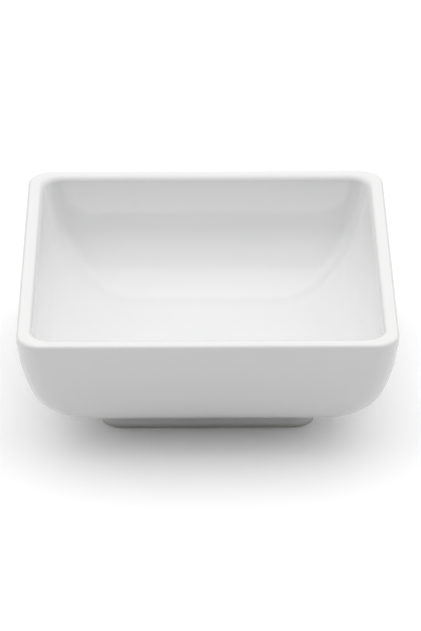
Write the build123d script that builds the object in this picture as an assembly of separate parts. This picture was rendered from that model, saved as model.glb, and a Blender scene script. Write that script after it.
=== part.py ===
from build123d import *
import os
from math import cos, radians, sin, tan

# A small square soy sauce dish of glazed white ware, standing on a square foot ring.
# The origin is at the middle of the standing edge, +Z is up, and the sides lie along X and Y.

# Driving dimensions, in millimetres and degrees. A lean is measured from upright, 90 degrees being level.

side = 80.0                     # over the rim, the same both ways
height = 30.0                   # from the standing edge to the top of the rim
rim_width = 3.3
floor_thickness = 2.5           # clay and glaze together
glaze_thickness = 0.3

corner_radius = 5.4             # outer corners, in plan
inner_corner_radius = 4.0       # inner corners, in plan, at the rim
floor_corner_radius = 2.4       # inner corners, in plan, at the floor
rim_outer_rounding = 0.8
rim_inner_rounding = 1.5

outer_rim_lean = 3.0            # the outside at the rim
outer_shoulder_lean = 19.0      # the outside where its slow upper curve passes into the bend
outer_bend_radius = 16.5        # the bend from the wall into the underside
seat_lean = 80.5                # the bend where the flat seat of the foot cuts it off

inner_rim_lean = 12.0           # the inside leans more than the outside, so the wall thickens downwards
inner_shoulder_lean = 19.1
inner_bend_radius = 17.4        # the bend from the wall into the floor

foot_height = 4.6               # from the standing edge to the glazed underside
foot_ledge = 1.0                # the foot's outer side lies this far in from the edge of the seat
foot_wall = 3.2                 # thickness of the foot ring, with its glaze
foot_corner_radius = 5.0        # outer corners of the foot, in plan
recess_corner_radius = 1.8      # inner corners of the foot, in plan
foot_edge_rounding = 0.5        # both edges of the standing face
foot_root_rounding = 0.6        # glaze pooled in the corners between the foot and the underside
dry_edge = 0.8                  # height of the unglazed band above the standing edge

level_lean = 90.0
overrun_lean = 2.0              # the walls' curves run on above the rim by this lean, before they are trimmed
section_spacing = 1.7           # along those curves, from one lofted section to the next


class WallCurve:
    """Half-section of one face of the wall: a slow upper curve from the rim down, and a tangent bend."""

    def __init__(self, rim_half, rim_lean, shoulder_lean, bend_radius, bend_centre_z, rim_corner, low_corner):
        shoulder_z = bend_centre_z - bend_radius * sin(radians(shoulder_lean))
        upper_radius = (height - shoulder_z) / (sin(radians(shoulder_lean)) - sin(radians(rim_lean)))
        upper_centre_x = rim_half - upper_radius * cos(radians(rim_lean))
        upper_centre_z = height + upper_radius * sin(radians(rim_lean))
        bend_centre_x = upper_centre_x + (upper_radius - bend_radius) * cos(radians(shoulder_lean))
        self.rim_lean = rim_lean
        self.shoulder_lean = shoulder_lean
        self.upper = upper_radius, upper_centre_x, upper_centre_z
        self.bend = bend_radius, bend_centre_x, bend_centre_z
        self.rim_corner = rim_corner
        self.low_corner = low_corner

    def point(self, lean, offset):
        """Half-width and height where the face has this lean, moved outwards from it by an offset."""
        radius, x, z = self.upper if lean < self.shoulder_lean else self.bend
        return x + (radius + offset) * cos(radians(lean)), z - (radius + offset) * sin(radians(lean))

    def corner(self, lean):
        """Radius of the corners in plan where the face has this lean. It changes with the cube of the depth."""
        depth = (height - self.point(lean, 0)[1]) / (height - self.point(level_lean, 0)[1])
        return self.rim_corner + (self.low_corner - self.rim_corner) * depth ** 3

    def form(self, offset):
        """The solid within the face, moved outwards by an offset, from its level bottom to above the rim."""
        top_lean = self.rim_lean - overrun_lean
        leans = even_leans(level_lean, self.shoulder_lean, self.bend[0])
        leans += even_leans(self.shoulder_lean, top_lean, self.upper[0]) + [top_lean]
        sections = []
        for lean in leans:
            half_width, z = self.point(lean, offset)
            outline = RectangleRounded(2 * half_width, 2 * half_width, self.corner(lean) + offset)
            sections.append(Pos(0, 0, z) * outline)
        return loft(sections)


def even_leans(first, last, radius):
    """Leans from first to just before last, evenly spaced along an arc of this radius."""
    count = round(radius * radians(first - last) / section_spacing)
    return [first + (last - first) * i / count for i in range(count)]


def slab(low, high):
    """A block wider than the dish, between two heights."""
    return Pos(0, 0, (low + high) / 2) * Box(2 * side, 2 * side, high - low)


def rounded_block(half_width, corner, low, high):
    """An upright square block with rounded corners, between two heights."""
    outline = Pos(0, 0, low) * RectangleRounded(2 * half_width, 2 * half_width, corner)
    return extrude(outline, high - low)


def dish(coat):
    """Walls and floor less a coat of this thickness all over, flat at the seat and rounded at the rim."""
    walls = outside.form(-coat) & slab(foot_height + coat, height - coat)
    walls -= inside.form(coat)
    rim_face = walls.faces().sort_by(Axis.Z)[-1]
    walls = fillet(rim_face.outer_wire().edges(), rim_outer_rounding - coat)
    rim_face = walls.faces().filter_by(GeomType.PLANE).sort_by(Axis.Z)[-1]
    return fillet(rim_face.inner_wires()[0].edges(), rim_inner_rounding - coat)


# The outside is set so that the rounded rim reaches the full side, the inside by the width of the rim

rounding_loss = rim_outer_rounding * (tan(radians(outer_rim_lean)) + 1 / cos(radians(outer_rim_lean)) - 1)
outside = WallCurve(
    side / 2 + rounding_loss, outer_rim_lean, outer_shoulder_lean, outer_bend_radius,
    foot_height + outer_bend_radius * sin(radians(seat_lean)), corner_radius, corner_radius)
inside = WallCurve(
    side / 2 - rim_width, inner_rim_lean, inner_shoulder_lean, inner_bend_radius,
    foot_height + floor_thickness + inner_bend_radius, inner_corner_radius, floor_corner_radius)


# The clay body: four walls, floor and rim in one piece

bowl_body = dish(glaze_thickness)


# The foot ring: a square clay ring luted to the flat seat under the body

seat_z = foot_height + glaze_thickness
foot_half = outside.point(seat_lean, 0)[0] - foot_ledge
clay_foot_half = foot_half - glaze_thickness
clay_foot_corner = foot_corner_radius - glaze_thickness
recess_half = foot_half - foot_wall
clay_recess_half = recess_half + glaze_thickness
clay_recess_corner = recess_corner_radius + glaze_thickness

foot_block = rounded_block(clay_foot_half, clay_foot_corner, 0, seat_z)
foot_ring = foot_block - rounded_block(clay_recess_half, clay_recess_corner, 0, seat_z)
standing_face = foot_ring.faces().sort_by(Axis.Z)[0]
foot_ring = fillet(standing_face.edges(), foot_edge_rounding)


# The glaze coat: over the outside, the rim and the inside, ending above the dry standing edge

glazed_form = dish(0) + rounded_block(foot_half, foot_corner_radius, dry_edge, seat_z)
ledge = glazed_form.faces().filter_by(Plane.XY).sort_by(Axis.Z)[1]
glazed_form = fillet(ledge.inner_wires()[0].edges(), foot_root_rounding)
glaze_coat = glazed_form - bowl_body - foot_block


# The glaze in the recess: on the underside and on the inner side of the foot ring

recess_fill = rounded_block(clay_recess_half, clay_recess_corner, dry_edge, seat_z)
recess_space = rounded_block(recess_half, recess_corner_radius, 0, foot_height)
recess_space = fillet(recess_space.faces().sort_by(Axis.Z)[-1].edges(), foot_root_rounding)
recess_glaze = recess_fill - recess_space


os.makedirs("parts", exist_ok=True)
pieces = {
    "bowl_body": bowl_body,
    "foot_ring": foot_ring,
    "glaze_coat": glaze_coat,
    "recess_glaze": recess_glaze,
}
for name, piece in pieces.items():
    export_step(piece, f"parts/{name}.step")
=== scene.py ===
from math import asin, cos, degrees, pi, radians, sin, sqrt, tan

import bmesh
import bpy
from mathutils import Matrix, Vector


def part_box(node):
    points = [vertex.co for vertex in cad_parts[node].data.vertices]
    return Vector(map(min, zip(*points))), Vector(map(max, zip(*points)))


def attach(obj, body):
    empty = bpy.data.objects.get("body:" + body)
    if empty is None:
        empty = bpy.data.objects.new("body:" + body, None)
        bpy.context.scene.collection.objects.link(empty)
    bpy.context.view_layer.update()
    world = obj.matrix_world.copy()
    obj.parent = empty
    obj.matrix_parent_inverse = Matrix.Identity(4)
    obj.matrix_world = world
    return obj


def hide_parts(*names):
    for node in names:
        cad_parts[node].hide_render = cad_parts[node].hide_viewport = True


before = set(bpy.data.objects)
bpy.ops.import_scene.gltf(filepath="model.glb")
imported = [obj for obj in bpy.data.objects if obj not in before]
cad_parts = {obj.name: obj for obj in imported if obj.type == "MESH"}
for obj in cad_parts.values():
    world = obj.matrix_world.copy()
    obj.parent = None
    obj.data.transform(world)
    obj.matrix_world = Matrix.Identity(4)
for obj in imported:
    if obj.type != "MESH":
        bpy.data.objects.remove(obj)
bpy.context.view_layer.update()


# The clay body: four walls, floor and rim pressed in one piece from fine white clay, and fired to biscuit.
# The glaze closes it in on every side, so it would show only where the coat is chipped.

CLAY_WHITE, CLAY_CREAM = (0.83, 0.82, 0.79, 1), (0.80, 0.785, 0.75, 1)
SPECK, SPECK_STRENGTH = (0.62, 0.58, 0.52, 1), 0.25
SCUFF, SCUFF_STRENGTH = (0.56, 0.55, 0.53, 1), 0.35
SCUFF_LOW, SCUFF_HIGH = 0.00004, 0.0004
CLAY_ROUGHNESS, SCUFF_POLISH = 0.94, 0.18
CLAY_SHEEN = 0.3
GRAIN_DEPTH, GRAIN_STRENGTH = 0.00004, 0.6


class Wire:
    """An output socket of a node tree. Sums on it add Math nodes, and add() makes any other node."""

    def __init__(self, tree, socket=None):
        self.tree = tree
        self.socket = socket

    def add(self, kind, settings, sockets, output=0):
        node = self.tree.nodes.new(kind)
        for name, value in settings.items():
            setattr(node, name, value)
        for name, value in sockets.items():
            if isinstance(value, Wire):
                self.tree.links.new(value.socket, node.inputs[name])
            else:
                node.inputs[name].default_value = value
        return Wire(self.tree, node.outputs[output] if node.outputs else None)

    def math(self, operation, first, second):
        return self.add("ShaderNodeMath", {"operation": operation}, {0: first, 1: second})

    def __add__(self, other):
        return self.math("ADD", self, other)

    def __radd__(self, other):
        return self.math("ADD", other, self)

    def __sub__(self, other):
        return self.math("SUBTRACT", self, other)

    def __rsub__(self, other):
        return self.math("SUBTRACT", other, self)

    def __mul__(self, other):
        return self.math("MULTIPLY", self, other)

    def __rmul__(self, other):
        return self.math("MULTIPLY", other, self)

    def noise(self, scale, detail, seed):
        """Noise over the piece, about 0.5, in patches of about 1 / scale metres."""
        shift = (seed, 2 * seed, 3 * seed)
        place = self.add("ShaderNodeMapping", {}, {"Vector": self, "Location": shift})
        return self.add("ShaderNodeTexNoise", {}, {"Vector": place, "Scale": scale, "Detail": detail})

    def rise(self, low, high):
        """Smooth rise from 0 at low to 1 at high."""
        return self.add(
            "ShaderNodeMapRange", {"interpolation_type": "SMOOTHSTEP"},
            {"Value": self, "From Min": low, "From Max": high})

    def tint(self, first, second):
        """The first colour where this value is 0, the second where it is 1."""
        return self.add("ShaderNodeMix", {"data_type": "RGBA"}, {0: self, 6: first, 7: second}, output=2)

    def height(self):
        return self.add("ShaderNodeSeparateXYZ", {}, {"Vector": self}, output=2)


def new_material(name):
    """A material with an empty node tree, and the wire of its Object coordinates."""
    material = bpy.data.materials.new(name)
    material.use_nodes = True
    material.node_tree.nodes.clear()
    return material, Wire(material.node_tree).add("ShaderNodeTexCoord", {}, {}, output=3)


def biscuit_clay():
    """Dry white clay: a chalky grain, faint cream clouds, a few specks, and scuffs where it stands."""
    material, place = new_material("biscuit_clay")
    clouds = place.noise(scale=160.0, detail=3.0, seed=0.7).rise(0.35, 0.65)
    specks = place.noise(scale=1500.0, detail=1.0, seed=0.4).rise(0.66, 0.74)
    standing = 1.0 - place.height().rise(SCUFF_LOW, SCUFF_HIGH)
    scuffs = standing * place.noise(scale=420.0, detail=4.0, seed=0.9).rise(0.45, 0.7)
    colour = clouds.tint(CLAY_WHITE, CLAY_CREAM)
    colour = (specks * SPECK_STRENGTH).tint(colour, SPECK)
    colour = (scuffs * SCUFF_STRENGTH).tint(colour, SCUFF)
    grain = place.noise(scale=4200.0, detail=2.0, seed=0.2)
    normal = place.add(
        "ShaderNodeBump", {}, {"Height": grain, "Strength": GRAIN_STRENGTH, "Distance": GRAIN_DEPTH})
    shader = place.add("ShaderNodeBsdfPrincipled", {}, {
        "Base Color": colour,
        "Roughness": CLAY_ROUGHNESS - SCUFF_POLISH * scuffs,
        "Specular IOR Level": CLAY_SHEEN,
        "Normal": normal})
    place.add("ShaderNodeOutputMaterial", {}, {"Surface": shader})
    return material


clay = biscuit_clay()
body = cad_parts["bowl_body"]
body.data.materials.clear()
body.data.materials.append(clay)


# The foot ring: a square ring of the same clay, luted to the flat seat under the body before it is fired.
# Its lower edge is wiped clean of glaze, because the dish stands on it in the kiln.

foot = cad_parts["foot_ring"]
foot.data.materials.clear()
foot.data.materials.append(clay)


# The glaze coat: clear white glaze poured over the inside, the rim and the outside of the fired clay.
# It is one closed skin, a third of a millimetre thick, with a soft lower edge above the foot's dry edge.
# Sizes are in millimetres and degrees, and a lean is measured from upright.

MM = 0.001
HEIGHT = 30.0
RIM_HALF, RIM_INNER_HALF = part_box("glaze_coat")[1].x / MM, 36.7
CORNER, INNER_CORNER, FLOOR_CORNER = 5.4, 4.0, 2.4
RIM_ROUNDING, RIM_INNER_ROUNDING = 0.8, 1.5
RIM_LEAN, SHOULDER_LEAN, BEND = 3.0, 19.0, 16.5
INNER_RIM_LEAN, INNER_SHOULDER_LEAN, INNER_BEND = 12.0, 19.1, 17.4
SEAT_LEAN, UNDERSIDE, FLOOR = 80.5, 4.6, 7.1
FOOT_LEDGE, FOOT_CORNER, FOOT_ROOT = 1.0, 5.0, 0.6
COAT, DRY_EDGE = 0.3, 0.8
LEVEL = 90.0

CORNER_SEGMENTS, SIDE_CUTS = 12, 15
SURFACE_STEPS, LINING_STEPS, ROOT_STEPS, EDGE_STEPS = 16, 4, 6, 5
SHARPEST_SMOOTH = radians(40)

GLAZE_WHITE, GLAZE_CLOUD = (0.905, 0.907, 0.904, 1), (0.894, 0.897, 0.896, 1)
THIN_GLAZE, THIN_STRENGTH, THIN_DEPTH = (0.893, 0.887, 0.875, 1), 0.35, 0.7
GLAZE_ROUGHNESS, ROUGHNESS_SPREAD = 0.02, 0.04
GLAZE_IOR = 1.6
SWELL_DEPTH, FINE_SWELL = 0.00001, 0.12


class SquareSkin:
    """A closed skin, drawn out ring by ring from a flat square with rounded corners."""

    def __init__(self, half, z, corner):
        self.mesh = bmesh.new()
        self.half, self.z, self.corner = half, z, corner
        grid = bmesh.ops.create_grid(self.mesh, x_segments=1, y_segments=1, size=half * MM)
        bmesh.ops.translate(self.mesh, vec=(0, 0, z * MM), verts=grid["verts"])
        bmesh.ops.bevel(
            self.mesh, geom=grid["verts"], offset=corner * MM, offset_type="OFFSET", affect="VERTICES",
            segments=CORNER_SEGMENTS, profile=0.5, material=-1)
        self.edge = list(self.mesh.edges)

    def draw(self, rings):
        """Draws the open edge out to each ring in turn: its half-width, height and corner radius."""
        for half, z, corner in rings:
            drawn = bmesh.ops.extrude_edge_only(self.mesh, edges=self.edge)["geom"]
            self.edge = [part for part in drawn if isinstance(part, bmesh.types.BMEdge)]
            points = [part for part in drawn if isinstance(part, bmesh.types.BMVert)]
            reach = (self.half - self.corner) * MM
            move = (half - corner) * MM - reach
            lift = (z - self.z) * MM
            growth = corner / self.corner
            for x, y in ((1, 1), (-1, 1), (-1, -1), (1, -1)):
                quarter = [v for v in points if v.co.x * x > 0 and v.co.y * y > 0]
                middle = Matrix.Translation((-x * reach, -y * reach, 0))
                bmesh.ops.scale(self.mesh, vec=(growth, growth, 1), space=middle, verts=quarter)
                bmesh.ops.translate(self.mesh, vec=(x * move, y * move, lift), verts=quarter)
            self.half, self.z, self.corner = half, z, corner

    def finish(self, name, node, material):
        """Closes the skin and makes it the piece that stands for a node."""
        bmesh.ops.edgeloop_fill(self.mesh, edges=self.edge)
        sides = [
            edge for edge in self.mesh.edges
            if any(edge.verts[0].co[axis] * edge.verts[1].co[axis] < 0 for axis in (0, 1))]
        bmesh.ops.subdivide_edges(self.mesh, edges=sides, cuts=SIDE_CUTS, use_grid_fill=True)
        bmesh.ops.recalc_face_normals(self.mesh, faces=self.mesh.faces)
        data = bpy.data.meshes.new(name)
        self.mesh.to_mesh(data)
        self.mesh.free()
        data.shade_smooth()
        data.set_sharp_from_angle(angle=SHARPEST_SMOOTH)
        data.materials.append(material)
        piece = bpy.data.objects.new(name, data)
        bpy.context.scene.collection.objects.link(piece)
        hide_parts(node)
        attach(piece, "root")


def arc(centre, radius, first, last, steps):
    """Half-widths and heights along an arc between two leans. A radius below 0 faces the other way."""
    leans = [radians(first + (last - first) * i / steps) for i in range(steps + 1)]
    return [(centre[0] + radius * cos(lean), centre[1] - radius * sin(lean)) for lean in leans]


def even_corner(points, corner):
    """Rings along a wall, whose corners keep their radius."""
    return [(half, z, corner) for half, z in points]


def deep_corner(points, depth):
    """Rings along the inside, at a depth under its glaze, whose corners tighten towards the floor."""
    rings = []
    for half, z in points:
        fall = (HEIGHT - z) / (HEIGHT - FLOOR)
        rings.append((half, z, INNER_CORNER + depth + (FLOOR_CORNER - INNER_CORNER) * fall ** 3))
    return rings


def round_corner(points, half, corner):
    """Rings along a rounding, whose corners turn about one centre, from the radius at one half-width."""
    return [(x, z, corner + x - half) for x, z in points]


def wall(rim_half, rim_lean, shoulder_lean, bend, bend_z):
    """Centre and radius of the slow upper curve of a face of the wall, and the centre of its bend."""
    shoulder_z = bend_z - bend * sin(radians(shoulder_lean))
    radius = (HEIGHT - shoulder_z) / (sin(radians(shoulder_lean)) - sin(radians(rim_lean)))
    upper = rim_half - radius * cos(radians(rim_lean)), HEIGHT + radius * sin(radians(rim_lean))
    return upper, radius, (upper[0] + (radius - bend) * cos(radians(shoulder_lean)), bend_z)


def rim_edge(upper, reach, rounding):
    """Centre of a rounding of the rim, at a reach from the centre of the upper curve, and the lean there."""
    z = HEIGHT - rounding
    fall = upper[1] - z
    return (upper[0] + sqrt(reach ** 2 - fall ** 2), z), degrees(asin(fall / reach))


rounding_loss = RIM_ROUNDING * (tan(radians(RIM_LEAN)) + 1 / cos(radians(RIM_LEAN)) - 1)
outer_upper, outer_radius, outer_bend = wall(
    RIM_HALF + rounding_loss, RIM_LEAN, SHOULDER_LEAN, BEND, UNDERSIDE + BEND * sin(radians(SEAT_LEAN)))
outer_rim, outer_rim_lean = rim_edge(outer_upper, outer_radius - RIM_ROUNDING, RIM_ROUNDING)
inner_upper, inner_radius, inner_bend = wall(
    RIM_INNER_HALF, INNER_RIM_LEAN, INNER_SHOULDER_LEAN, INNER_BEND, FLOOR + INNER_BEND)
inner_rim, inner_rim_lean = rim_edge(
    inner_upper, inner_radius + RIM_INNER_ROUNDING, RIM_INNER_ROUNDING)
foot_half = outer_bend[0] + BEND * cos(radians(SEAT_LEAN)) - FOOT_LEDGE


def dish_rings(depth, steps):
    """Rings of the dish at a depth under its glaze, from the floor's edge over the rim to the foot's seat."""
    corner = CORNER - depth
    seat_lean = degrees(asin((outer_bend[1] - UNDERSIDE - depth) / (BEND - depth)))
    inside = arc(inner_bend, INNER_BEND + depth, LEVEL, INNER_SHOULDER_LEAN, 2 * steps)
    inside += arc(inner_upper, inner_radius + depth, INNER_SHOULDER_LEAN, inner_rim_lean, steps)[1:]
    inner_edge = arc(inner_rim, depth - RIM_INNER_ROUNDING, inner_rim_lean, LEVEL, steps)[1:]
    outer_edge = arc(outer_rim, RIM_ROUNDING - depth, -LEVEL, outer_rim_lean, steps)
    outside = arc(outer_upper, outer_radius - depth, outer_rim_lean, SHOULDER_LEAN, steps)[1:]
    outside += arc(outer_bend, BEND - depth, SHOULDER_LEAN, seat_lean, 2 * steps)[1:]
    rings = deep_corner(inside, depth)
    rings += round_corner(inner_edge, rings[-1][0], rings[-1][2])
    rings += round_corner(outer_edge, outer_edge[-1][0], corner)
    return rings + even_corner(outside, corner)


def white_glaze():
    """Clear glaze over white clay: glassy, with a faint swell, thin over the edges of the rim."""
    material, place = new_material("white_glaze")
    clouds = place.noise(scale=45.0, detail=2.0, seed=0.3).rise(0.3, 0.7)
    thin = place.height().rise((HEIGHT - THIN_DEPTH) * MM, HEIGHT * MM) * THIN_STRENGTH
    colour = clouds.tint(GLAZE_WHITE, GLAZE_CLOUD)
    colour = thin.tint(colour, THIN_GLAZE)
    swell = place.noise(scale=70.0, detail=1.0, seed=0.6)
    swell = swell + FINE_SWELL * place.noise(scale=520.0, detail=2.0, seed=0.1)
    normal = place.add("ShaderNodeBump", {}, {"Height": swell, "Strength": 1.0, "Distance": SWELL_DEPTH})
    shader = place.add("ShaderNodeBsdfPrincipled", {}, {
        "Base Color": colour,
        "Roughness": GLAZE_ROUGHNESS + ROUGHNESS_SPREAD * place.noise(scale=240.0, detail=3.0, seed=0.8),
        "IOR": GLAZE_IOR,
        "Normal": normal})
    place.add("ShaderNodeOutputMaterial", {}, {"Surface": shader})
    return material


glaze = white_glaze()
surface = dish_rings(0, SURFACE_STEPS)
root = arc((foot_half + FOOT_ROOT, UNDERSIDE - FOOT_ROOT), -FOOT_ROOT, LEVEL, 0, ROOT_STEPS)
lower_edge = arc((foot_half - COAT, DRY_EDGE + COAT), COAT, 0, LEVEL, EDGE_STEPS)
skin = SquareSkin(*surface[0])
skin.draw(surface[1:])
skin.draw(round_corner(root, foot_half, FOOT_CORNER))
skin.draw(round_corner(lower_edge, foot_half, FOOT_CORNER))
skin.draw([(foot_half - COAT, UNDERSIDE + COAT, FOOT_CORNER - COAT)])
skin.draw(dish_rings(COAT, LINING_STEPS)[::-1])
skin.finish("glaze_skin", "glaze_coat", glaze)


# The glaze in the recess: the same glaze, poured into the hollow of the foot and pooled in its corner.
# The dry standing edge parts it from the coat on the outside.

FOOT_WALL, RECESS_CORNER = 3.2, 1.8

recess_half = foot_half - FOOT_WALL
pool = round_corner(
    arc((recess_half - FOOT_ROOT, UNDERSIDE - FOOT_ROOT), FOOT_ROOT, -LEVEL, 0, ROOT_STEPS),
    recess_half, RECESS_CORNER)
recess_edge = arc((recess_half + COAT, DRY_EDGE + COAT), -COAT, 0, -LEVEL, EDGE_STEPS)
recess = SquareSkin(*pool[0])
recess.draw(pool[1:])
recess.draw(round_corner(recess_edge, recess_half, RECESS_CORNER))
recess.draw([(recess_half + COAT, UNDERSIDE + COAT, RECESS_CORNER + COAT)])
recess.finish("recess_skin", "recess_glaze", glaze)


# The table: a wide sheet of smooth white paper under the dish.
# It is shown, and mirrored in the glaze, whiter than it lights the dish from below.

SHEET_SIZE = 4.0
SHEET_WHITE, SHEET_BOUNCE = 1.15, 0.78
FIBRE_STRENGTH = 0.006


def white_sheet():
    """Smooth matt paper with the faintest fibre."""
    material, place = new_material("white_sheet")
    camera_ray, glossy_ray, clear_ray = (
        place.add("ShaderNodeLightPath", {}, {}, output=ray)
        for ray in ("Is Camera Ray", "Is Glossy Ray", "Is Transmission Ray"))
    seen = place.math("MAXIMUM", place.math("MAXIMUM", camera_ray, glossy_ray), clear_ray)
    fibres = 1.0 - FIBRE_STRENGTH * place.noise(scale=900.0, detail=3.0, seed=0.5).rise(0.3, 0.7)
    white = fibres * (SHEET_BOUNCE + (SHEET_WHITE - SHEET_BOUNCE) * seen)
    shader = place.add("ShaderNodeBsdfDiffuse", {}, {"Color": white})
    place.add("ShaderNodeOutputMaterial", {}, {"Surface": shader})
    return material


sheet_mesh = bmesh.new()
bmesh.ops.create_grid(sheet_mesh, x_segments=1, y_segments=1, size=SHEET_SIZE)
sheet_data = bpy.data.meshes.new("sheet")
sheet_mesh.to_mesh(sheet_data)
sheet_mesh.free()
sheet_data.materials.append(white_sheet())
sheet = bpy.data.objects.new("sheet", sheet_data)
bpy.context.scene.collection.objects.link(sheet)


# The light: a tent of white cloth over the table, brightest overhead and dark down at the table.
# Its front is open on a dim room that is lighter higher up, and the back wall of the dish mirrors it.
# A pair of heights is where a brightness starts and ends its rise, 0 being level and 1 overhead.

TENT_WALL, TENT_TOP = 1.51, 1.96
TENT_FRONT, TENT_RIGHT = 0.2, 0.03
WALL_HEIGHTS, TOP_HEIGHTS = (0.08, 0.42), (0.74, 0.96)
OPENING_WIDTH, OPENING_HEIGHT, OPENING_BLUR = 2.16, 3.21, 0.03
ROOM, ROOM_HEIGHTS = 1.0, (0.15, 0.85)

tent = bpy.data.worlds.new("tent")
bpy.context.scene.world = tent
tent.use_nodes = True
tent.node_tree.nodes.clear()
direction = Wire(tent.node_tree).add("ShaderNodeTexCoord", {}, {}, output=0)
across, along, up = (
    direction.add("ShaderNodeSeparateXYZ", {}, {"Vector": direction}, output=axis) for axis in range(3))
aside, ahead = direction.math("ABSOLUTE", across, 0.0), 0.0 - along
top = up.rise(*TOP_HEIGHTS)
slant = 1.0 + TENT_FRONT * ahead + TENT_RIGHT * across
cloth = TENT_WALL * up.rise(*WALL_HEIGHTS) * slant * (1.0 - top) + TENT_TOP * top
opening = (OPENING_WIDTH * ahead - aside).rise(-OPENING_BLUR, OPENING_BLUR)
opening = opening * (OPENING_HEIGHT * ahead - up).rise(-OPENING_BLUR, OPENING_BLUR)
room = ROOM * up.rise(*ROOM_HEIGHTS)
light = cloth + opening * (room - cloth)
direction.add("ShaderNodeOutputWorld", {}, {
    "Surface": direction.add("ShaderNodeBackground", {}, {"Strength": light})})


# The camera: a long lens in front of the dish, looking down on it.
# Its place and its lens were fitted to the photograph together with the outline of the dish.

CAMERA_DISTANCE = 0.76918
CAMERA_RISE, CAMERA_TURN = radians(29.468), radians(0.418)
AIM = (0.000802, -0.000006, 0.014791)
FOCAL_LENGTH, SENSOR = 200.59, 36.0

lens = bpy.data.cameras.new("camera")
lens.lens = FOCAL_LENGTH
lens.sensor_width = SENSOR
camera = bpy.data.objects.new("camera", lens)
camera.location = (
    AIM[0] - CAMERA_DISTANCE * sin(CAMERA_TURN) * cos(CAMERA_RISE),
    AIM[1] - CAMERA_DISTANCE * cos(CAMERA_TURN) * cos(CAMERA_RISE),
    AIM[2] + CAMERA_DISTANCE * sin(CAMERA_RISE))
camera.rotation_euler = (pi / 2 - CAMERA_RISE, 0, -CAMERA_TURN)
bpy.context.scene.collection.objects.link(camera)
bpy.context.scene.camera = camera
bpy.context.scene.view_settings.view_transform = "Standard"
